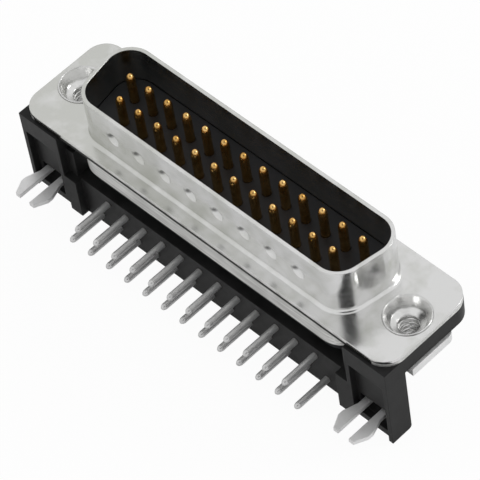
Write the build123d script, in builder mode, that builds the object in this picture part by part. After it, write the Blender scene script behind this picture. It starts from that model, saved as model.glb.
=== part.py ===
from build123d import *
import os
from math import radians, tan

# Right-angle 25-way D-subminiature plug for a circuit board.
# +Z is the mating direction, X runs along the length, and the board lies on the -Y side.
# The origin is the middle of the D on the flange's mating face. Sizes are in millimetres.

# Contacts
PITCH = 2.77
ROW_SPACING = 2.84
LONG_ROW = 13
SHORT_ROW = 12
PIN_DIAMETER = 1.02
PIN_SIDES = 12
PIN_BELOW_RIM = 0.5
PIN_NOSE_LENGTH = 0.5
PIN_NOSE_TAPER = 28
TAIL_DIAMETER = 0.76
TAIL_SIDES = 8
TAIL_BEND = 1.0
TAIL_POINT_LENGTH = 0.7
TAIL_POINT_TAPER = 15
CONTACT_FIT = 0.03

# Sheet metal shells
SHEET = 0.4
PLUG_END_MARGIN = 2.86
PLUG_SIDE_MARGIN = 2.76
PLUG_CORNER = 2.6
SIDE_LEAN = 10
SKIRT_HEIGHT = 6.0
ROOT_RADIUS = 0.45
FLANGE_END_MARGIN = 7.04
FLANGE_SIDE_MARGIN = 2.07
FLANGE_CORNER = 2.4
REAR_BODY_END_MARGIN = 1.07
REAR_BODY_SIDE_MARGIN = 1.27
REAR_BODY_CORNER = 3.2
REAR_BODY_DEPTH = 4.5
DIMPLES = 8
DIMPLE_PITCH = 3.8
DIMPLE_HEIGHT = 3.0
DIMPLE_RADIUS = 1.2
DIMPLE_DEPTH = 0.35

# Insulators
INSULATOR_FIT = 0.05
INSULATOR_FACE = 1.4
INSULATOR_JOINT = 2.6
INSULATOR_TAIL = 1.2

# Threaded inserts
SCREW_INSET = 3.0
INSERT_DIAMETER = 4.4
FLARE_DIAMETER = 5.1
FLARE_LIP = 0.12
THROAT_DIAMETER = 3.7
THROAT_DEPTH = 1.2
THREAD_BORE = 2.26
THREAD_LEAD = 0.35
INSERT_COLLAR_DIAMETER = 4.8
INSERT_COLLAR_LENGTH = 1.4
INSERT_FIT = 0.02

# Bracket
EAR_THICKNESS = 2.15
EAR_CORNER = 2.3
EAR_GAP = 0.2
BRACKET_INSET = 0.02
BOARD_GAP = 0.35
FOOT_THICKNESS = 2.75
FOOT_PAST_TAILS = 1.8
HEEL_PAST_FOOT = 0.9
HEEL_CORNER = 0.4
RIB = 0.55
POCKET_DEPTH = 0.8
POCKET_START = 3.4
HEEL_WALL = 0.9
LOCATOR_RECESS = 0.9
LOCATOR_THICKNESS = 1.85
LOCATOR_MARGIN = 1.35
LOCATOR_BLOCK = 1.7
WEB = 1.2

# Tails and board locks
FIRST_TAIL_ROW = 8.08
TAIL_REACH = 3.85
LOCK_SHEET = 0.5
LOCK_TOP = 3.1
LOCK_CORNER = 1.0
LOCK_OVERHANG = 0.35
LOCK_BEND = 0.2
FORK_ROOT_WIDTH = 3.1
FORK_BARB_WIDTH = 4.2
FORK_TIP_WIDTH = 2.7
FORK_SLOT = 1.5
FORK_REACH = 3.8
FORK_NECK = 0.9
FORK_BARB_START = 1.7
FORK_BARB_LENGTH = 0.6
FORK_HOLE_WIDTH = 3.8
FORK_HOLE_HEIGHT = 1.7

# The D and the flange grow with the field of contacts: 38.96 x 8.36 and 53.04 x 12.5 here.
PLUG_LENGTH = (LONG_ROW - 1) * PITCH + 2 * PLUG_END_MARGIN
PLUG_WIDTH = ROW_SPACING + 2 * PLUG_SIDE_MARGIN
FLANGE_LENGTH = PLUG_LENGTH + 2 * FLANGE_END_MARGIN
FLANGE_WIDTH = PLUG_WIDTH + 2 * FLANGE_SIDE_MARGIN
REAR_BODY_LENGTH = PLUG_LENGTH + 2 * REAR_BODY_END_MARGIN
REAR_BODY_WIDTH = PLUG_WIDTH + 2 * REAR_BODY_SIDE_MARGIN
PLUG_INSIDE = (PLUG_LENGTH, PLUG_WIDTH, PLUG_CORNER)
REAR_BODY = (REAR_BODY_LENGTH, REAR_BODY_WIDTH, REAR_BODY_CORNER)

# Heights along Z and, for the board side, along Y
PIN_TIP = SKIRT_HEIGHT - PIN_BELOW_RIM
INSULATOR_REAR = REAR_BODY_DEPTH + INSULATOR_TAIL
SECOND_TAIL_ROW = FIRST_TAIL_ROW + ROW_SPACING
TAIL_MIDDLE = FIRST_TAIL_ROW + ROW_SPACING / 2
BOARD_FACE = FLANGE_WIDTH / 2 + BOARD_GAP
TAIL_END = -BOARD_FACE - TAIL_REACH
FOOT_TOP = FOOT_THICKNESS - BOARD_FACE
FOOT_REACH = TAIL_MIDDLE + FOOT_PAST_TAILS
HEEL_REACH = FOOT_REACH + HEEL_PAST_FOOT
LOCATOR_FACE = LOCATOR_RECESS - BOARD_FACE
LOCATOR_HEIGHT = ROW_SPACING + 2 * LOCATOR_MARGIN
EAR_FRONT = -2 * SHEET
EAR_REAR = EAR_FRONT - EAR_THICKNESS
LOCK_REAR = EAR_REAR - 2 * LOCK_SHEET
INSERT_REAR = LOCK_REAR - INSERT_COLLAR_LENGTH

# Places along X
SCREW_X = FLANGE_LENGTH / 2 - SCREW_INSET
EAR_INSIDE = REAR_BODY_LENGTH / 2 + EAR_GAP
EAR_OUTSIDE = FLANGE_LENGTH / 2 - BRACKET_INSET
EAR_LENGTH = EAR_OUTSIDE - EAR_INSIDE
EAR_MIDDLE = (EAR_INSIDE + EAR_OUTSIDE) / 2
LOCATOR_LENGTH = 2 * (EAR_INSIDE - LOCATOR_BLOCK)
SIDES = {"left": -1, "right": 1}


def row_places(count, y):
    """Gives the contact centres of one row as (x, y) pairs, from -X to +X."""
    first = -(count - 1) * PITCH / 2
    return [(first + i * PITCH, y) for i in range(count)]


LONG_PLACES = row_places(LONG_ROW, ROW_SPACING / 2)
SHORT_PLACES = row_places(SHORT_ROW, -ROW_SPACING / 2)
CONTACT_PLACES = LONG_PLACES + SHORT_PLACES
LONG_TAILS = [(x, -SECOND_TAIL_ROW) for x, y in LONG_PLACES]
SHORT_TAILS = [(x, -FIRST_TAIL_ROW) for x, y in SHORT_PLACES]
TAIL_PLACES = LONG_TAILS + SHORT_TAILS


def add_d(size, grow=0.0):
    """Adds a D, wide on its +Y side, to the sketch in hand, grown all round by some amount."""
    length, width, corner = size
    lost_to_rounding = 2 * corner * (1 / tan(radians(45 - SIDE_LEAN / 2)) - 1)
    with BuildSketch(mode=Mode.PRIVATE) as shape:
        Trapezoid(length + lost_to_rounding, width, 90 - SIDE_LEAN, rotation=180)
        fillet(shape.vertices(), corner)
        if grow:
            offset(amount=grow)
    add(shape.sketch)


def insert_outside(fit=0.0):
    """Makes the outer form of an insert on the Z axis, wider all round by its fit."""
    body = INSERT_DIAMETER / 2 + fit
    flare = FLARE_DIAMETER / 2 + fit
    collar = INSERT_COLLAR_DIAMETER / 2 + fit
    with BuildPart(mode=Mode.PRIVATE) as outside:
        with BuildSketch(Plane.XZ):
            with BuildLine():
                Polyline(
                    (0, FLARE_LIP),
                    (flare, FLARE_LIP),
                    (flare, 0),
                    (body, EAR_FRONT),
                    (body, LOCK_REAR),
                    (collar, LOCK_REAR),
                    (collar, INSERT_REAR),
                    (0, INSERT_REAR),
                    close=True,
                )
            make_face()
        revolve(axis=Axis.Z)
    return outside.part


def dimple_places(depth):
    """Gives the centres of the balls whose caps are the dimples, at some depth in the wall."""
    ball = PLUG_WIDTH / 2 + DIMPLE_RADIUS - DIMPLE_DEPTH + depth
    first = -(DIMPLES - 1) * DIMPLE_PITCH / 2
    return [(first + i * DIMPLE_PITCH, -ball, DIMPLE_HEIGHT) for i in range(DIMPLES)]


# The seats of both inserts, to be cut from all that they pass through.
with BuildPart() as insert_seats:
    with Locations(*[(side * SCREW_X, 0, 0) for side in SIDES.values()]):
        add(insert_outside(INSERT_FIT))

# The room inside the skirt, with the dimples standing into it.
with BuildPart() as plug_room:
    with BuildSketch(Plane.XY.offset(-SHEET)):
        add_d(PLUG_INSIDE)
    extrude(amount=SHEET + SKIRT_HEIGHT)
    with Locations(*dimple_places(0)):
        Sphere(DIMPLE_RADIUS, mode=Mode.SUBTRACT)

# The front shell: flange and skirt drawn from one sheet, dimpled along its board side.
with BuildPart() as front_shell:
    with BuildSketch():
        RectangleRounded(FLANGE_LENGTH, FLANGE_WIDTH, FLANGE_CORNER)
    extrude(amount=-SHEET)
    with BuildSketch(Plane.XY.offset(-SHEET)):
        add_d(PLUG_INSIDE, SHEET)
    extrude(amount=SHEET + SKIRT_HEIGHT)
    mating_face = front_shell.faces().filter_by(Axis.Z).group_by(Axis.Z)[1][0]
    fillet(mating_face.inner_wires()[0].edges(), ROOT_RADIUS)
    add(plug_room.part, mode=Mode.SUBTRACT)
    with Locations(*dimple_places(SHEET)):
        Sphere(DIMPLE_RADIUS, mode=Mode.SUBTRACT)
    add(insert_seats.part, mode=Mode.SUBTRACT)

# The rear shell: the flange's second sheet, drawn back into a shallow body.
with BuildPart() as rear_shell:
    with BuildSketch(Plane.XY.offset(-SHEET)):
        RectangleRounded(FLANGE_LENGTH, FLANGE_WIDTH, FLANGE_CORNER)
    extrude(amount=-SHEET)
    with BuildSketch(Plane.XY.offset(-SHEET)):
        add_d(REAR_BODY)
    extrude(amount=SHEET - REAR_BODY_DEPTH)
    with BuildSketch(Plane.XY.offset(-SHEET)):
        add_d(REAR_BODY, -SHEET)
    extrude(amount=SHEET - REAR_BODY_DEPTH, mode=Mode.SUBTRACT)
    add(insert_seats.part, mode=Mode.SUBTRACT)

# The front insulator: a boss inside the skirt on a base inside the rear shell.
with BuildPart() as front_insulator:
    with BuildSketch(Plane.XY.offset(-SHEET)):
        add_d(PLUG_INSIDE, -INSULATOR_FIT)
    extrude(amount=SHEET + INSULATOR_FACE)
    with BuildSketch(Plane.XY.offset(-SHEET)):
        add_d(REAR_BODY, -SHEET - INSULATOR_FIT)
    extrude(amount=SHEET - INSULATOR_JOINT)
    with BuildSketch(Plane.XY.offset(INSULATOR_FACE)):
        with Locations(*CONTACT_PLACES):
            RegularPolygon(PIN_DIAMETER / 2 + CONTACT_FIT, PIN_SIDES)
    extrude(amount=-INSULATOR_FACE - INSULATOR_JOINT, mode=Mode.SUBTRACT)

# The rear insulator: closes the rear shell and traps the shoulders of the pins.
with BuildPart() as rear_insulator:
    with BuildSketch(Plane.XY.offset(-INSULATOR_JOINT)):
        add_d(REAR_BODY, -SHEET - INSULATOR_FIT)
    extrude(amount=INSULATOR_JOINT - INSULATOR_REAR)
    with BuildSketch(Plane.XY.offset(-INSULATOR_REAR)):
        with Locations(*CONTACT_PLACES):
            RegularPolygon(TAIL_DIAMETER / 2 + CONTACT_FIT, TAIL_SIDES)
    extrude(amount=INSULATOR_REAR - INSULATOR_JOINT, mode=Mode.SUBTRACT)


def bent_contact(row_y, tail_row):
    """Makes one contact on X = 0: a blunt-nosed pin and a thinner tail bent down to the board.

    Twenty-five of them repeat, so pin and tail have flat sides in place of full rounds.
    """
    pin_length = INSULATOR_JOINT + PIN_TIP
    with BuildPart() as contact:
        with BuildSketch(Plane((0, row_y, -INSULATOR_JOINT))):
            RegularPolygon(PIN_DIAMETER / 2, PIN_SIDES)
        extrude(amount=pin_length - PIN_NOSE_LENGTH)
        extrude(contact.faces().sort_by(Axis.Z)[-1], amount=PIN_NOSE_LENGTH, taper=PIN_NOSE_TAPER)
        with BuildLine() as route:
            Polyline(
                (0, row_y, -INSULATOR_JOINT),
                (0, row_y, TAIL_BEND - tail_row),
                (0, row_y - TAIL_BEND, -tail_row),
                (0, TAIL_END + TAIL_POINT_LENGTH, -tail_row),
            )
        with BuildSketch(Plane(route.line @ 0, x_dir=(1, 0, 0), z_dir=route.line % 0)):
            RegularPolygon(TAIL_DIAMETER / 2, TAIL_SIDES)
        sweep(path=route.line, transition=Transition.RIGHT)
        extrude(contact.faces().sort_by(Axis.Y)[0], amount=TAIL_POINT_LENGTH, taper=TAIL_POINT_TAPER)
    return contact.part


# The bracket: ears behind the flange, feet on the board and the bar that lines up the tails,
# with a web from each of its end blocks forward to the ear.
with BuildPart() as bracket:
    for side in SIDES.values():
        with BuildSketch(Plane.XY.offset(EAR_FRONT)) as ear:
            with Locations((side * EAR_MIDDLE, -BOARD_FACE)):
                Rectangle(EAR_LENGTH, BOARD_FACE + FLANGE_WIDTH / 2, align=(Align.CENTER, Align.MIN))
            outer_corners = ear.vertices().group_by(Axis.X)[-1 if side > 0 else 0]
            fillet(outer_corners.sort_by(Axis.Y)[-1], EAR_CORNER)
        extrude(amount=-EAR_THICKNESS)
        with Locations((side * EAR_MIDDLE, -BOARD_FACE, EAR_REAR)):
            Box(EAR_LENGTH, FOOT_THICKNESS, FOOT_REACH + EAR_REAR, align=(Align.CENTER, Align.MIN, Align.MAX))
        with BuildSketch(Plane.YZ.offset(side * EAR_OUTSIDE)) as heel:
            with Locations((-BOARD_FACE, EAR_REAR)):
                Rectangle(FOOT_THICKNESS, HEEL_REACH + EAR_REAR, align=(Align.MIN, Align.MAX))
            fillet(heel.vertices().group_by(Axis.Y)[0].sort_by(Axis.X)[-1], HEEL_CORNER)
        extrude(amount=-side * RIB)
        with Locations((side * (EAR_INSIDE - LOCATOR_BLOCK / 2), -BOARD_FACE, -TAIL_MIDDLE)):
            Box(LOCATOR_BLOCK, FOOT_THICKNESS, LOCATOR_HEIGHT, align=(Align.CENTER, Align.MIN, Align.CENTER))
        with Locations((side * (EAR_INSIDE - WEB / 2), LOCATOR_FACE, EAR_REAR)):
            Box(WEB, LOCATOR_THICKNESS, TAIL_MIDDLE + EAR_REAR, align=(Align.CENTER, Align.MIN, Align.MAX))
        with Locations((side * EAR_MIDDLE, -BOARD_FACE, -POCKET_START)):
            Box(
                EAR_LENGTH - 2 * RIB,
                POCKET_DEPTH,
                FOOT_REACH - HEEL_WALL - POCKET_START,
                align=(Align.CENTER, Align.MIN, Align.MAX),
                mode=Mode.SUBTRACT,
            )
        with Locations((side * SCREW_X, -BOARD_FACE, -TAIL_MIDDLE)):
            Box(
                FORK_HOLE_WIDTH,
                FOOT_THICKNESS,
                FORK_HOLE_HEIGHT,
                align=(Align.CENTER, Align.MIN, Align.CENTER),
                mode=Mode.SUBTRACT,
            )
    with Locations((0, LOCATOR_FACE, -TAIL_MIDDLE)):
        Box(LOCATOR_LENGTH, LOCATOR_THICKNESS, LOCATOR_HEIGHT, align=(Align.CENTER, Align.MIN, Align.CENTER))
    with BuildSketch(Plane.XZ.offset(-LOCATOR_FACE)):
        with Locations(*TAIL_PLACES):
            RegularPolygon(TAIL_DIAMETER / 2 + CONTACT_FIT, TAIL_SIDES)
    extrude(amount=-LOCATOR_THICKNESS, mode=Mode.SUBTRACT)
    add(insert_seats.part, mode=Mode.SUBTRACT)


def board_lock(side):
    """Makes one board lock: a doubled plate behind the ear, a strap on the foot and a barbed fork."""
    fork_front = LOCK_SHEET / 2 - TAIL_MIDDLE
    fork_root = FOOT_TOP - FORK_NECK
    board_end = -BOARD_FACE - FORK_REACH
    barb_start = -BOARD_FACE - FORK_BARB_START
    barb_end = barb_start - FORK_BARB_LENGTH
    plate_foot = FOOT_TOP + LOCK_SHEET + LOCK_BEND
    plate_length = EAR_OUTSIDE + LOCK_OVERHANG - EAR_INSIDE
    with BuildPart() as lock:
        with BuildSketch(Plane.XY.offset(EAR_REAR)) as plate:
            with Locations((side * (EAR_INSIDE + plate_length / 2), plate_foot)):
                Rectangle(plate_length, LOCK_TOP - plate_foot, align=(Align.CENTER, Align.MIN))
            fillet(plate.vertices().group_by(Axis.Y)[-1], LOCK_CORNER)
        extrude(amount=-2 * LOCK_SHEET)
        with BuildSketch(Plane.YZ.offset(side * SCREW_X)):
            with BuildLine():
                FilletPolyline(
                    (plate_foot + LOCK_SHEET, EAR_REAR),
                    (FOOT_TOP, EAR_REAR),
                    (FOOT_TOP, fork_front),
                    (fork_root, fork_front),
                    radius=[LOCK_SHEET + LOCK_BEND, LOCK_BEND],
                )
                offset(amount=LOCK_SHEET, side=Side.LEFT)
            make_face()
        extrude(amount=FORK_ROOT_WIDTH / 2, both=True)
        with BuildSketch(Plane((side * SCREW_X, 0, fork_front))):
            with BuildLine():
                Polyline(
                    (FORK_SLOT / 2, fork_root),
                    (FORK_ROOT_WIDTH / 2, fork_root),
                    (FORK_ROOT_WIDTH / 2, -BOARD_FACE),
                    (FORK_BARB_WIDTH / 2, barb_start),
                    (FORK_BARB_WIDTH / 2, barb_end),
                    (FORK_TIP_WIDTH / 2, board_end),
                    (FORK_SLOT / 2, board_end),
                    close=True,
                )
            make_face()
            mirror(about=Plane.YZ)
        extrude(amount=-LOCK_SHEET)
        add(insert_seats.part, mode=Mode.SUBTRACT)
    return lock.part


def threaded_insert():
    """Makes one insert on the Z axis: a flared lip, a funnel and a bore for a 4-40 screw."""
    throat = THROAT_DIAMETER / 2
    bore = THREAD_BORE / 2
    mouth = FLARE_DIAMETER / 2 - FLARE_LIP
    with BuildPart() as insert:
        add(insert_outside())
        with BuildSketch(Plane.XZ):
            with BuildLine():
                Polyline(
                    (mouth, FLARE_LIP),
                    (throat, -THROAT_DEPTH),
                    (bore, -THROAT_DEPTH - THREAD_LEAD),
                    (bore, INSERT_REAR),
                    (0, INSERT_REAR),
                    (0, FLARE_LIP),
                    close=True,
                )
            make_face()
        revolve(axis=Axis.Z, mode=Mode.SUBTRACT)
    return insert.part


def save(piece, name):
    """Labels a finished piece and writes it as its own file."""
    piece.label = name
    export_step(piece, f"parts/{name}.step")


os.makedirs("parts", exist_ok=True)
save(front_shell.part, "front_shell")
save(rear_shell.part, "rear_shell")
save(front_insulator.part, "front_insulator")
save(rear_insulator.part, "rear_insulator")
save(bracket.part, "bracket")
for name, side in SIDES.items():
    save(board_lock(side), f"board_lock_{name}")
    with BuildPart() as insert:
        with Locations((side * SCREW_X, 0, 0)):
            add(threaded_insert())
    save(insert.part, f"threaded_insert_{name}")

long_contact = bent_contact(ROW_SPACING / 2, SECOND_TAIL_ROW)
short_contact = bent_contact(-ROW_SPACING / 2, FIRST_TAIL_ROW)
for number, (x, y) in enumerate(CONTACT_PLACES, start=1):
    with BuildPart() as contact:
        with Locations((x, 0, 0)):
            add(long_contact if y > 0 else short_contact)
    save(contact.part, f"contact_{number:02d}")
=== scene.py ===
from math import cos, radians, sin

import bpy
from mathutils import Matrix, Vector


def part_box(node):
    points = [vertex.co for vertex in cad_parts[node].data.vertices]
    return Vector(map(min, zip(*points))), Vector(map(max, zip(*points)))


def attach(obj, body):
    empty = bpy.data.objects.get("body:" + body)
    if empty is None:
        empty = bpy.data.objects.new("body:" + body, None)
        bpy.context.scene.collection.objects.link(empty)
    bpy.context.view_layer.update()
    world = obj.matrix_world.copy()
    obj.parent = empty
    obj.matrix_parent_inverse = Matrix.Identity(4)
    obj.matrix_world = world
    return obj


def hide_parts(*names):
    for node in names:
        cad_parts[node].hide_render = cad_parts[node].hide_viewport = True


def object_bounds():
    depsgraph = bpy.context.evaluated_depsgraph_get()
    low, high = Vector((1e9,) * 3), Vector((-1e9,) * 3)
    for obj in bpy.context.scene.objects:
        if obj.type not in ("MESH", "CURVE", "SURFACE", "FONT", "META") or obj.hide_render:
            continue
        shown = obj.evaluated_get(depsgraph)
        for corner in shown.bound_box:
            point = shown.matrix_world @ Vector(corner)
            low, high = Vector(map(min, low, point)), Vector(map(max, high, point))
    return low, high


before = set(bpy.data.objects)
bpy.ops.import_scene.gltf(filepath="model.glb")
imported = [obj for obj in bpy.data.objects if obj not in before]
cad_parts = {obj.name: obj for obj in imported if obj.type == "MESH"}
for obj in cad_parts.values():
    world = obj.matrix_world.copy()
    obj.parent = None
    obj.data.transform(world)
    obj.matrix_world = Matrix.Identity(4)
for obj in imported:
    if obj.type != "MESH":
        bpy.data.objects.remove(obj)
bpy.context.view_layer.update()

# A right-angle D-sub plug, dressed for its portrait. The CAD pieces get their finishes here.
# Smooth contacts take the place of the flat-sided ones, and the inserts get their screw
# threads. Metres throughout.

MM = 0.001

# Camera, as the photograph was taken
CAMERA_PLACE = (176.0 * MM, -134.5 * MM, 269.9 * MM)
CAMERA_AZIMUTH = radians(52.8)
CAMERA_ELEVATION = radians(51.35)
CAMERA_ROLL = radians(-10.2)
LENS = 256.9
SENSOR = 36.0

# Insert threads
SCREW_SPACING = 47.04 * MM
THREAD_RADIUS = 1.13 * MM
THREAD_PITCH = 0.635 * MM
THREAD_RIDGE = 0.13 * MM
THREAD_TOP = -1.75 * MM
THREAD_LENGTH = 3.3 * MM
THREAD_STEPS = 28
RIDGE_SIDES = 4
INSERTS = 2

# Contacts
PITCH = 2.77 * MM
ROW_SPACING = 2.84 * MM
LONG_ROW = 13
SHORT_ROW = 12
PIN_RADIUS = 0.51 * MM
PIN_NOSE = 0.95 * MM
TAIL_RADIUS = 0.38 * MM
TAIL_BEND = 1.3 * MM
TAIL_POINT = 0.55 * MM
PIN_SIDES = 32
WIRE_SIDES = 28
BALL_RINGS = 24
BEND_STEPS = 12
JOINT_GAP = 0.01 * MM
SHOULDER = -2.6 * MM
FIRST_TAIL_ROW = -8.08 * MM

# Dents along the plug's wall, and the painted shade spot in each: where it sits in the first of them, its
# size and how dark it is
DENTS = 8
DENT_PITCH = 3.8 * MM
DENT_SHADE_SPOT = (1.12 * MM, -4.15 * MM, 3.12 * MM)
SHADE_SPOT_CORE = 0.26 * MM
SHADE_SPOT_EDGE = 0.58 * MM
SHADE_SPOT_LEVEL = 0.08

# Plating: how far the painted shade in corners and under overhangs reaches, how dark it and the drawing
# streaks make it, how much the front shell's painted shade lightens with each millimetre, and where the tin
# of the tails ends and the gold of the pins begins
CORNER_REACH = 0.7 * MM
CORNER_SHADE = 0.75
STREAK_SHADE = 0.74
LENGTHWISE_SHADE = 0.006
PLATING_CHANGE = -4.0 * MM

# Painted shadow on the rear sheet's edge, for the shade in the seam under the flange: how wide the band is,
# and its near-black colour
EDGE_SHADOW_BAND = 0.02 * MM
EDGE_SHADOW_COLOUR = (0.02, 0.02, 0.018, 1.0)

# Floor
FLOOR_SIZE = 6.0
FLOOR_GAP = 0.05 * MM
PAPER = (0.88, 0.88, 0.88, 1.0)
PAPER_LIFT = 0.95
MIRRORED_LIFT = 0.2

# Studio: a tent, a hole in it for the camera, with a soft rim, and a lamp at the side
TENT_LIGHT = 0.84
CAMERA_HOLE = radians(21.0)
HOLE_INSIDE = 0.8 * CAMERA_HOLE
HOLE_SHADE = 0.02
LAMP_PLACE = (0.354, 0.437, 0.325)
LAMP_SIZE = 0.22
LAMP_POWER = 0.9
WHITE = (1.0, 1.0, 1.0, 1.0)


def new_material(name):
    """Starts a node material with its shader and its output."""
    material = bpy.data.materials.new(name)
    material.use_nodes = True
    nodes = material.node_tree.nodes
    return material, nodes, material.node_tree.links, nodes["Principled BSDF"]


def object_place(nodes, links, stretch=(1.0, 1.0, 1.0)):
    """Gives the piece's own coordinates in millimetres, stretched along its axes."""
    place = nodes.new("ShaderNodeTexCoord")
    scale = nodes.new("ShaderNodeMapping")
    scale.inputs["Scale"].default_value = [1000.0 * s for s in stretch]
    links.new(place.outputs["Object"], scale.inputs["Vector"])
    return scale.outputs["Vector"]


def noise(nodes, links, vector, scale, detail=3.0, roughness=0.55):
    """Adds a noise, its scale counted per millimetre."""
    cloud = nodes.new("ShaderNodeTexNoise")
    cloud.inputs["Scale"].default_value = scale
    cloud.inputs["Detail"].default_value = detail
    cloud.inputs["Roughness"].default_value = roughness
    links.new(vector, cloud.inputs["Vector"])
    return cloud.outputs["Fac"]


def ramp(nodes, links, factor, low, high, place=(0.35, 0.65)):
    """Turns a factor into a colour between two colours."""
    band = nodes.new("ShaderNodeValToRGB")
    band.color_ramp.elements[0].position, band.color_ramp.elements[1].position = place
    band.color_ramp.elements[0].color = (*low, 1.0)
    band.color_ramp.elements[1].color = (*high, 1.0)
    links.new(factor, band.inputs["Fac"])
    return band.outputs["Color"]


def between(nodes, links, factor, low, high):
    """Turns a factor into a number between two numbers."""
    spread = nodes.new("ShaderNodeMapRange")
    spread.inputs["From Min"].default_value = 0.3
    spread.inputs["From Max"].default_value = 0.7
    spread.inputs["To Min"].default_value = low
    spread.inputs["To Max"].default_value = high
    links.new(factor, spread.inputs["Value"])
    return spread.outputs["Result"]


def bump(nodes, links, height, distance, strength, normal=None):
    """Adds a bump of some depth, in millimetres."""
    relief = nodes.new("ShaderNodeBump")
    relief.inputs["Distance"].default_value = distance * MM
    relief.inputs["Strength"].default_value = strength
    links.new(height, relief.inputs["Height"])
    if normal:
        links.new(normal, relief.inputs["Normal"])
    return relief.outputs["Normal"]


def rounded_edges(nodes, radius):
    """Softens the look of sharp edges by some radius, in millimetres."""
    edge = nodes.new("ShaderNodeBevel")
    edge.samples = 4
    edge.inputs["Radius"].default_value = radius * MM
    return edge.outputs["Normal"]


def darkened(nodes, links, colour, shade):
    """Multiplies a colour by a shade."""
    marked_and_shaded = nodes.new("ShaderNodeMix")
    marked_and_shaded.data_type = "RGBA"
    marked_and_shaded.blend_type = "MULTIPLY"
    marked_and_shaded.inputs["Factor"].default_value = 1.0
    links.new(colour, marked_and_shaded.inputs["A"])
    links.new(shade, marked_and_shaded.inputs["B"])
    return marked_and_shaded.outputs["Result"]


def grey(level):
    """Gives a grey of some level."""
    return (level, level, level)


def painted_corner_shade(nodes, links, colour):
    """Paints shade into a colour in corners and under overhangs."""
    corner = nodes.new("ShaderNodeAmbientOcclusion")
    corner.samples = 6
    corner.inputs["Distance"].default_value = CORNER_REACH
    shade = ramp(nodes, links, corner.outputs["AO"], grey(CORNER_SHADE), grey(1.0), (0.35, 0.85))
    return darkened(nodes, links, colour, shade)


def drawing_streaks(nodes, links, colour):
    """Darkens a colour in fine streaks along the length, as the drawing tool leaves them."""
    streaks = noise(nodes, links, object_place(nodes, links, (0.05, 1.0, 1.0)), 4.0, 2.0)
    return darkened(nodes, links, colour, ramp(nodes, links, streaks, grey(STREAK_SHADE), grey(1.0)))


def painted_edge_shadow(nodes, links, place, colour, half_width):
    """Paints a shadow on the sheet's edges beyond some distance in Y: a near-black band for the shade in the
    seam under the flange.
    """
    parts = nodes.new("ShaderNodeSeparateXYZ")
    links.new(place, parts.inputs["Vector"])
    out = nodes.new("ShaderNodeMath")
    out.operation = "ABSOLUTE"
    links.new(parts.outputs["Y"], out.inputs[0])
    in_shadow = nodes.new("ShaderNodeMath")
    in_shadow.operation = "GREATER_THAN"
    in_shadow.inputs[1].default_value = half_width / MM
    links.new(out.outputs["Value"], in_shadow.inputs[0])
    shadowed = nodes.new("ShaderNodeMix")
    shadowed.data_type = "RGBA"
    shadowed.inputs["B"].default_value = EDGE_SHADOW_COLOUR
    links.new(in_shadow.outputs["Value"], shadowed.inputs["Factor"])
    links.new(colour, shadowed.inputs["A"])
    return shadowed.outputs["Result"]


def only_across(x, rest):
    """Gives a limit in X, turned to millimetres, that leaves the other axes free."""
    return (x / MM, rest, rest)


def painted_shade_in_dents(nodes, links, place, colour):
    """Paints a spot of shade at one end of each dent along the plug's wall."""
    row_end = DENTS / 2 * DENT_PITCH
    far = 1000.0
    limits = (
        ("MAXIMUM", only_across(-row_end, -far)),
        ("MINIMUM", only_across(row_end, far)),
    )
    for operation, limit in limits:
        within = nodes.new("ShaderNodeVectorMath")
        within.operation = operation
        within.inputs[1].default_value = limit
        links.new(place, within.inputs[0])
        place = within.outputs["Vector"]
    repeat = nodes.new("ShaderNodeVectorMath")
    repeat.operation = "WRAP"
    repeat.inputs[1].default_value = only_across(DENT_PITCH, far)
    repeat.inputs[2].default_value = only_across(0.0, -far)
    links.new(place, repeat.inputs[0])
    away = nodes.new("ShaderNodeVectorMath")
    away.operation = "DISTANCE"
    away.inputs[1].default_value = [c / MM for c in DENT_SHADE_SPOT]
    links.new(repeat.outputs["Vector"], away.inputs[0])
    fade = (SHADE_SPOT_CORE / MM, SHADE_SPOT_EDGE / MM)
    spot_shade = ramp(nodes, links, away.outputs["Value"], grey(SHADE_SPOT_LEVEL), grey(1.0), fade)
    return darkened(nodes, links, colour, spot_shade)


def shade_toward_one_end(nodes, links, place, clouds):
    """Leans a cloud factor along the length as painted shade, so that the sheet is darker toward -X and
    lighter toward +X.
    """
    parts = nodes.new("ShaderNodeSeparateXYZ")
    links.new(place, parts.inputs["Vector"])
    lean = nodes.new("ShaderNodeMath")
    lean.operation = "MULTIPLY_ADD"
    lean.inputs[1].default_value = LENGTHWISE_SHADE
    links.new(parts.outputs["X"], lean.inputs[0])
    links.new(clouds, lean.inputs[2])
    return lean.outputs["Value"]


def cloudy_tone_and_corner_shade(nodes, links, place, clouds, colours):
    """Cloudy tin with painted shade in its corners and under overhangs."""
    return painted_corner_shade(nodes, links, ramp(nodes, links, clouds, *colours))


def front_tone_and_shade(nodes, links, place, clouds, colours):
    """Cloudy tin with painted shade: darker toward one end, in its corners and as a spot in each dent."""
    tin = cloudy_tone_and_corner_shade(nodes, links, place, shade_toward_one_end(nodes, links, place, clouds), colours)
    return painted_shade_in_dents(nodes, links, place, tin)


def rear_tone_and_shade(nodes, links, place, clouds, colours):
    """Cloudy tin with streaks from drawing, painted shade in its corners and a painted shadow on its edge."""
    tin = drawing_streaks(nodes, links, cloudy_tone_and_corner_shade(nodes, links, place, clouds, colours))
    return painted_edge_shadow(nodes, links, place, tin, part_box("rear_shell")[1][1] - EDGE_SHADOW_BAND)


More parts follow.
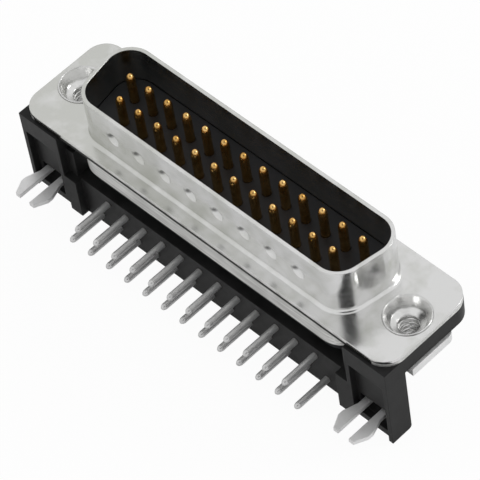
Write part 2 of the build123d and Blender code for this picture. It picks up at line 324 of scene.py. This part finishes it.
def plated_sheet(name, colours, roughness, edge, metal, marks_and_shade):
    """Tin-plated sheet: a soft mirror, cloudy and lightly rubbed, with its piece's own marks and painted
    shade.
    """
    material, nodes, links, shader = new_material(name)
    place = object_place(nodes, links)
    clouds = noise(nodes, links, place, 0.35, 4.0)
    rubbed = noise(nodes, links, object_place(nodes, links, (0.25, 1.2, 1.2)), 1.3, 3.0)
    links.new(marks_and_shade(nodes, links, place, clouds, colours), shader.inputs["Base Color"])
    links.new(between(nodes, links, rubbed, *roughness), shader.inputs["Roughness"])
    shader.inputs["Metallic"].default_value = metal
    soft = rounded_edges(nodes, edge)
    links.new(bump(nodes, links, rubbed, 0.01, 0.06, soft), shader.inputs["Normal"])
    return material


def moulded_black(name, dark, light):
    """Black moulded plastic with a fine grain and faint flow marks."""
    material, nodes, links, shader = new_material(name)
    place = object_place(nodes, links)
    flow = noise(nodes, links, place, 0.5, 3.0)
    grain = noise(nodes, links, place, 14.0, 2.0)
    links.new(ramp(nodes, links, flow, dark, light), shader.inputs["Base Color"])
    links.new(between(nodes, links, flow, 0.4, 0.52), shader.inputs["Roughness"])
    shader.inputs["Specular IOR Level"].default_value = 0.18
    soft = rounded_edges(nodes, 0.12)
    links.new(bump(nodes, links, grain, 0.01, 0.2, soft), shader.inputs["Normal"])
    return material


def plated_contact(name):
    """A contact: polished gold on the pin and dull tin on the tail, with drawing marks along it."""
    material, nodes, links, shader = new_material(name)
    place = object_place(nodes, links)
    height = nodes.new("ShaderNodeSeparateXYZ")
    links.new(place, height.inputs["Vector"])
    gold_side = nodes.new("ShaderNodeMath")
    gold_side.operation = "GREATER_THAN"
    gold_side.inputs[1].default_value = PLATING_CHANGE / MM
    links.new(height.outputs["Z"], gold_side.inputs[0])
    drawn = noise(nodes, links, object_place(nodes, links, (3.0, 0.3, 0.3)), 3.0, 3.0)
    clouds = noise(nodes, links, place, 1.1, 3.0)
    tin = ramp(nodes, links, clouds, grey(0.62), grey(0.72))
    gold = ramp(nodes, links, clouds, (0.56, 0.31, 0.08), (0.86, 0.56, 0.22))
    skin = nodes.new("ShaderNodeMix")
    skin.data_type = "RGBA"
    links.new(gold_side.outputs["Value"], skin.inputs["Factor"])
    links.new(tin, skin.inputs["A"])
    links.new(gold, skin.inputs["B"])
    links.new(skin.outputs["Result"], shader.inputs["Base Color"])
    polish = nodes.new("ShaderNodeMix")
    links.new(gold_side.outputs["Value"], polish.inputs["Factor"])
    links.new(between(nodes, links, drawn, 0.27, 0.36), polish.inputs["A"])
    links.new(between(nodes, links, drawn, 0.16, 0.24), polish.inputs["B"])
    links.new(polish.outputs["Result"], shader.inputs["Roughness"])
    links.new(between(nodes, links, gold_side.outputs["Value"], 0.7, 1.0), shader.inputs["Metallic"])
    return material


def turned_insert(name, edge):
    """A turned and plated insert, with fine tool rings round its axis."""
    material, nodes, links, shader = new_material(name)
    place = object_place(nodes, links)
    clouds = noise(nodes, links, place, 1.2, 3.0)
    rings = noise(nodes, links, object_place(nodes, links, (0.2, 0.2, 8.0)), 2.0, 2.0)
    links.new(ramp(nodes, links, clouds, (0.72, 0.72, 0.71), (0.82, 0.82, 0.81)), shader.inputs["Base Color"])
    links.new(between(nodes, links, clouds, 0.16, 0.24), shader.inputs["Roughness"])
    soft = rounded_edges(nodes, edge)
    links.new(bump(nodes, links, rings, 0.004, 0.1, soft), shader.inputs["Normal"])
    shader.inputs["Metallic"].default_value = 1.0
    return material


def new_tree(name, lengths, counts=()):
    """Starts a geometry tree with named inputs: lengths, whole numbers and a finish."""
    tree = bpy.data.node_groups.new(name, "GeometryNodeTree")
    face = tree.interface
    face.new_socket("Geometry", in_out="OUTPUT", socket_type="NodeSocketGeometry")
    for label in lengths:
        face.new_socket(label, in_out="INPUT", socket_type="NodeSocketFloat")
    for label in counts:
        face.new_socket(label, in_out="INPUT", socket_type="NodeSocketInt")
    face.new_socket("Finish", in_out="INPUT", socket_type="NodeSocketMaterial")
    return tree, tree.nodes.new("NodeGroupInput").outputs


def feed(tree, value, socket):
    """Plugs a value into a socket: another socket is linked, a plain number is typed in."""
    if hasattr(value, "node"):
        tree.links.new(value, socket)
    else:
        socket.default_value = value


def sum_of(tree, operation, first, second):
    """Works out one sum of two values."""
    sum_node = tree.nodes.new("ShaderNodeMath")
    sum_node.operation = operation
    feed(tree, first, sum_node.inputs[0])
    feed(tree, second, sum_node.inputs[1])
    return sum_node.outputs["Value"]


def spot(tree, x=0.0, y=0.0, z=0.0):
    """Joins three values into a place."""
    place = tree.nodes.new("ShaderNodeCombineXYZ")
    feed(tree, x, place.inputs["X"])
    feed(tree, y, place.inputs["Y"])
    feed(tree, z, place.inputs["Z"])
    return place.outputs["Vector"]


def round_end(tree, radius, reach, place, along):
    """Makes a smooth ball stretched along one axis, as the rounded end of a wire."""
    ball = tree.nodes.new("GeometryNodeMeshUVSphere")
    ball.inputs["Segments"].default_value = PIN_SIDES
    ball.inputs["Rings"].default_value = BALL_RINGS
    feed(tree, radius, ball.inputs["Radius"])
    stretch = sum_of(tree, "DIVIDE", reach, radius)
    sizes = {"x": 1.0, "y": 1.0, "z": 1.0}
    sizes[along] = stretch
    shaped = tree.nodes.new("GeometryNodeTransform")
    tree.links.new(ball.outputs["Mesh"], shaped.inputs["Geometry"])
    tree.links.new(place, shaped.inputs["Translation"])
    tree.links.new(spot(tree, **sizes), shaped.inputs["Scale"])
    return shaped.outputs["Geometry"]


def tube(tree, route, radius, sides):
    """Wraps a round tube of some radius about a curve."""
    nodes, links = tree.nodes, tree.links
    section = nodes.new("GeometryNodeCurvePrimitiveCircle")
    section.inputs["Resolution"].default_value = sides
    feed(tree, radius, section.inputs["Radius"])
    wrapped = nodes.new("GeometryNodeCurveToMesh")
    links.new(route, wrapped.inputs["Curve"])
    links.new(section.outputs["Curve"], wrapped.inputs["Profile Curve"])
    wrapped.inputs["Fill Caps"].default_value = True
    return wrapped.outputs["Mesh"]


def wire(tree, start, corner, end, radius, bend):
    """Makes a round wire from start to end, bent at a corner."""
    nodes, links = tree.nodes, tree.links
    legs = []
    for first, last in ((start, corner), (corner, end)):
        leg = nodes.new("GeometryNodeMeshLine")
        leg.mode = "END_POINTS"
        leg.inputs["Count"].default_value = 2
        links.new(first, leg.inputs["Start Location"])
        links.new(last, leg.inputs["Offset"])
        legs.append(leg.outputs["Mesh"])
    both = nodes.new("GeometryNodeJoinGeometry")
    for leg in legs:
        links.new(leg, both.inputs["Geometry"])
    merged = nodes.new("GeometryNodeMergeByDistance")
    merged.inputs["Distance"].default_value = JOINT_GAP
    links.new(both.outputs["Geometry"], merged.inputs["Geometry"])
    route = nodes.new("GeometryNodeMeshToCurve")
    links.new(merged.outputs["Geometry"], route.inputs["Mesh"])
    bent = nodes.new("GeometryNodeFilletCurve")
    links.new(route.outputs["Curve"], bent.inputs["Curve"])
    feed(tree, bend, bent.inputs["Radius"])
    bent.mode = "POLY"
    bent.inputs["Count"].default_value = BEND_STEPS
    return tube(tree, bent.outputs["Curve"], radius, WIRE_SIDES)


def row_of(tree, shape, count, first, step, finish):
    """Repeats a shape along a row and gives it its finish, as the tree's result."""
    nodes, links = tree.nodes, tree.links
    row = nodes.new("GeometryNodeMeshLine")
    feed(tree, count, row.inputs["Count"])
    links.new(first, row.inputs["Start Location"])
    links.new(step, row.inputs["Offset"])
    placed = nodes.new("GeometryNodeInstanceOnPoints")
    links.new(row.outputs["Mesh"], placed.inputs["Points"])
    links.new(shape, placed.inputs["Instance"])
    solid = nodes.new("GeometryNodeRealizeInstances")
    links.new(placed.outputs["Instances"], solid.inputs["Geometry"])
    skin = nodes.new("GeometryNodeSetMaterial")
    links.new(solid.outputs["Geometry"], skin.inputs["Geometry"])
    links.new(finish, skin.inputs["Material"])
    result = nodes.new("NodeGroupOutput")
    links.new(skin.outputs["Geometry"], result.inputs["Geometry"])


def contact_tree():
    """Geometry nodes for one row of contacts: a pin with a bullet nose and a bent tail, repeated."""
    tree, given = new_tree("contact_row", (
        "Row", "Tail Row", "Pitch", "Pin Radius", "Pin Tip", "Nose", "Shoulder",
        "Tail Radius", "Bend", "Tail End", "Tail Point",
    ), ("Count",))
    nodes, links = tree.nodes, tree.links

    nose_root = sum_of(tree, "SUBTRACT", given["Pin Tip"], given["Nose"])
    shaft = nodes.new("GeometryNodeCurvePrimitiveLine")
    links.new(spot(tree, z=given["Shoulder"]), shaft.inputs["Start"])
    links.new(spot(tree, z=nose_root), shaft.inputs["End"])
    pin = tube(tree, shaft.outputs["Curve"], given["Pin Radius"], PIN_SIDES)
    nose = round_end(tree, given["Pin Radius"], given["Nose"], spot(tree, z=nose_root), "z")

    drop = sum_of(tree, "SUBTRACT", given["Tail End"], given["Row"])
    point_root = sum_of(tree, "ADD", drop, given["Tail Point"])
    corner = spot(tree, z=given["Tail Row"])
    end = spot(tree, y=point_root, z=given["Tail Row"])
    tail = wire(tree, spot(tree, z=given["Shoulder"]), corner, end, given["Tail Radius"], given["Bend"])
    point = round_end(tree, given["Tail Radius"], given["Tail Point"], end, "y")

    contact = nodes.new("GeometryNodeJoinGeometry")
    for part in (pin, nose, tail, point):
        links.new(part, contact.inputs["Geometry"])
    smooth = nodes.new("GeometryNodeSetShadeSmooth")
    links.new(contact.outputs["Geometry"], smooth.inputs["Geometry"])

    gaps = sum_of(tree, "SUBTRACT", given["Count"], 1.0)
    half = sum_of(tree, "MULTIPLY", sum_of(tree, "MULTIPLY", gaps, given["Pitch"]), -0.5)
    first = spot(tree, x=half, y=given["Row"])
    step = spot(tree, x=given["Pitch"])
    row_of(tree, smooth.outputs["Geometry"], given["Count"], first, step, given["Finish"])
    return tree


def thread_tree():
    """Geometry nodes for a screw thread: a ridge wound down a bore, once in each insert."""
    tree, given = new_tree("screw_threads", ("Radius", "Pitch", "Ridge", "Top", "Length", "Spacing"))
    nodes, links = tree.nodes, tree.links
    helix = nodes.new("GeometryNodeCurveSpiral")
    helix.inputs["Resolution"].default_value = THREAD_STEPS
    links.new(sum_of(tree, "DIVIDE", given["Length"], given["Pitch"]), helix.inputs["Rotations"])
    links.new(given["Radius"], helix.inputs["Start Radius"])
    links.new(given["Radius"], helix.inputs["End Radius"])
    links.new(given["Length"], helix.inputs["Height"])
    thread = tube(tree, helix.outputs["Curve"], given["Ridge"], RIDGE_SIDES)
    left = sum_of(tree, "MULTIPLY", given["Spacing"], -0.5)
    bottom = sum_of(tree, "SUBTRACT", given["Top"], given["Length"])
    first = spot(tree, x=left, z=bottom)
    row_of(tree, thread, INSERTS, first, spot(tree, x=given["Spacing"]), given["Finish"])
    return tree


def grown_piece(name, tree, values):
    """Runs a geometry tree with its named sizes and keeps the result as a plain mesh."""
    seed = bpy.data.objects.new(name + "_seed", bpy.data.meshes.new(name + "_seed"))
    bpy.context.collection.objects.link(seed)
    grower = seed.modifiers.new("grow", "NODES")
    grower.node_group = tree
    for socket in tree.interface.items_tree:
        if socket.in_out == "INPUT":
            grower[socket.identifier] = values[socket.name]
    seed.update_tag()
    shape = seed.evaluated_get(bpy.context.evaluated_depsgraph_get())
    mesh = bpy.data.meshes.new_from_object(shape)
    mesh.name = name
    seed.modifiers.remove(grower)
    bpy.data.objects.remove(seed)
    piece = bpy.data.objects.new(name, mesh)
    bpy.context.collection.objects.link(piece)
    return piece


def white_paper(name):
    """White paper for the floor, lifted to white for the lens and in mirrors, with soft shadows."""
    material, nodes, links, shader = new_material(name)
    shader.inputs["Base Color"].default_value = PAPER
    shader.inputs["Roughness"].default_value = 0.9
    shader.inputs["Specular IOR Level"].default_value = 0.1
    path = nodes.new("ShaderNodeLightPath")
    share = None
    lifts = {
        "Is Camera Ray": PAPER_LIFT,
        "Is Glossy Ray": MIRRORED_LIFT,
        "Is Transmission Ray": MIRRORED_LIFT,
    }
    for label, lift in lifts.items():
        seen = nodes.new("ShaderNodeMath")
        seen.operation = "MULTIPLY_ADD"
        seen.inputs[1].default_value = lift
        seen.inputs[2].default_value = 0.0
        links.new(path.outputs[label], seen.inputs[0])
        if share:
            links.new(share.outputs["Value"], seen.inputs[2])
        share = seen
    glow = nodes.new("ShaderNodeEmission")
    glow.inputs["Color"].default_value = WHITE
    blend = nodes.new("ShaderNodeMixShader")
    links.new(share.outputs["Value"], blend.inputs["Fac"])
    links.new(shader.outputs["BSDF"], blend.inputs[1])
    links.new(glow.outputs["Emission"], blend.inputs[2])
    links.new(blend.outputs["Shader"], nodes["Material Output"].inputs["Surface"])
    return material


def dress(finish, *names):
    """Gives a finish to CAD nodes."""
    for name in names:
        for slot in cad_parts[name].material_slots:
            slot.material = finish


def softbox(name, place, aim, size, power):
    """Hangs a square soft light in the studio, turned to what it lights."""
    lamp = bpy.data.lights.new(name, "AREA")
    lamp.size = size
    lamp.energy = power
    light = bpy.data.objects.new(name, lamp)
    bpy.context.collection.objects.link(light)
    light.location = place
    light.rotation_euler = (Vector(aim) - Vector(place)).to_track_quat("-Z", "Y").to_euler()


# Camera
back = Vector((
    sin(CAMERA_AZIMUTH) * cos(CAMERA_ELEVATION),
    -cos(CAMERA_AZIMUTH) * cos(CAMERA_ELEVATION),
    sin(CAMERA_ELEVATION),
))
level = Vector((cos(CAMERA_AZIMUTH), sin(CAMERA_AZIMUTH), 0.0))
right = Matrix.Rotation(CAMERA_ROLL, 3, back) @ level
up = back.cross(right)
lens = bpy.data.cameras.new("camera")
lens.lens = LENS
lens.sensor_width = SENSOR
lens.clip_start = 0.01
camera = bpy.data.objects.new("camera", lens)
bpy.context.collection.objects.link(camera)
camera.matrix_world = Matrix.Translation(CAMERA_PLACE) @ Matrix((right, up, back)).transposed().to_4x4()
bpy.context.scene.camera = camera

# Finishes on the CAD pieces
shell_colours = ((0.63, 0.635, 0.605), (0.78, 0.78, 0.775))
rear_colours = ((0.72, 0.72, 0.70), (0.84, 0.84, 0.82))
lock_colours = (grey(0.76), grey(0.88))
# Each sheet's last argument gives its cloudy tone and marks, together with painted shade in corners, dents
# and along edges.
shell_tin = plated_sheet("shell_tin", shell_colours, (0.14, 0.23), 0.1, 1.0, front_tone_and_shade)
rear_tin = plated_sheet("rear_tin", rear_colours, (0.45, 0.6), 0.1, 0.85, rear_tone_and_shade)
lock_tin = plated_sheet("lock_tin", lock_colours, (0.42, 0.55), 0.12, 0.8, cloudy_tone_and_corner_shade)
insulator_black = moulded_black("insulator_black", (0.016, 0.017, 0.019), (0.023, 0.024, 0.027))
bracket_black = moulded_black("bracket_black", grey(0.010), grey(0.016))
contact_plate = plated_contact("contact_plate")
insert_plate = turned_insert("insert_plate", 0.3)
thread_plate = turned_insert("thread_plate", 0.02)

dress(shell_tin, "front_shell")
dress(rear_tin, "rear_shell")
dress(insulator_black, "front_insulator", "rear_insulator")
dress(bracket_black, "bracket")
dress(lock_tin, "board_lock_left", "board_lock_right")
dress(insert_plate, "threaded_insert_left", "threaded_insert_right")
dress(contact_plate, *[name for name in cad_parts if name.startswith("contact_")])

# Contacts
pin_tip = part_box("contact_01")[1][2]
tail_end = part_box("contact_01")[0][1]
contact_row = contact_tree()
contact_rows = (
    ("long_row", LONG_ROW, ROW_SPACING / 2, FIRST_TAIL_ROW - ROW_SPACING, 1),
    ("short_row", SHORT_ROW, -ROW_SPACING / 2, FIRST_TAIL_ROW, LONG_ROW + 1),
)
for name, count, row, tail_row, first_number in contact_rows:
    piece = grown_piece(f"contacts_{name}", contact_row, {
        "Row": row,
        "Tail Row": tail_row,
        "Pitch": PITCH,
        "Pin Radius": PIN_RADIUS,
        "Pin Tip": pin_tip,
        "Nose": PIN_NOSE,
        "Shoulder": SHOULDER,
        "Tail Radius": TAIL_RADIUS,
        "Bend": TAIL_BEND,
        "Tail End": tail_end,
        "Tail Point": TAIL_POINT,
        "Count": count,
        "Finish": contact_plate,
    })
    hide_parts(*[f"contact_{first_number + i:02d}" for i in range(count)])
    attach(piece, "root")

# Screw threads in the inserts
threads = grown_piece("insert_threads", thread_tree(), {
    "Radius": THREAD_RADIUS,
    "Pitch": THREAD_PITCH,
    "Ridge": THREAD_RIDGE,
    "Top": THREAD_TOP,
    "Length": THREAD_LENGTH,
    "Spacing": SCREW_SPACING,
    "Finish": thread_plate,
})
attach(threads, "root")

# Floor
lowest = Vector(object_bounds()[0])
bpy.ops.mesh.primitive_plane_add(size=FLOOR_SIZE, location=(0.0, 0.0, lowest.z - FLOOR_GAP))
floor = bpy.context.object
floor.name = "floor"
floor.data.materials.append(white_paper("floor_paper"))

# Studio: a white tent, with a dark hole where the camera looks in
world = bpy.data.worlds.new("studio")
bpy.context.scene.world = world
world.use_nodes = True
nodes, links = world.node_tree.nodes, world.node_tree.links
toward_camera = nodes.new("ShaderNodeVectorMath")
toward_camera.operation = "DOT_PRODUCT"
toward_camera.inputs[1].default_value = back
links.new(nodes.new("ShaderNodeTexCoord").outputs["Generated"], toward_camera.inputs[0])
tent = nodes.new("ShaderNodeMapRange")
tent.inputs["From Min"].default_value = cos(CAMERA_HOLE)
tent.inputs["From Max"].default_value = cos(HOLE_INSIDE)
tent.inputs["To Min"].default_value = TENT_LIGHT
tent.inputs["To Max"].default_value = HOLE_SHADE
links.new(toward_camera.outputs["Value"], tent.inputs["Value"])
sky = nodes["Background"]
sky.inputs["Color"].default_value = WHITE
links.new(tent.outputs["Result"], sky.inputs["Strength"])

softbox("side_lamp", LAMP_PLACE, (0.0, 0.0, 0.0), LAMP_SIZE, LAMP_POWER)

bpy.context.scene.view_settings.view_transform = "Standard"
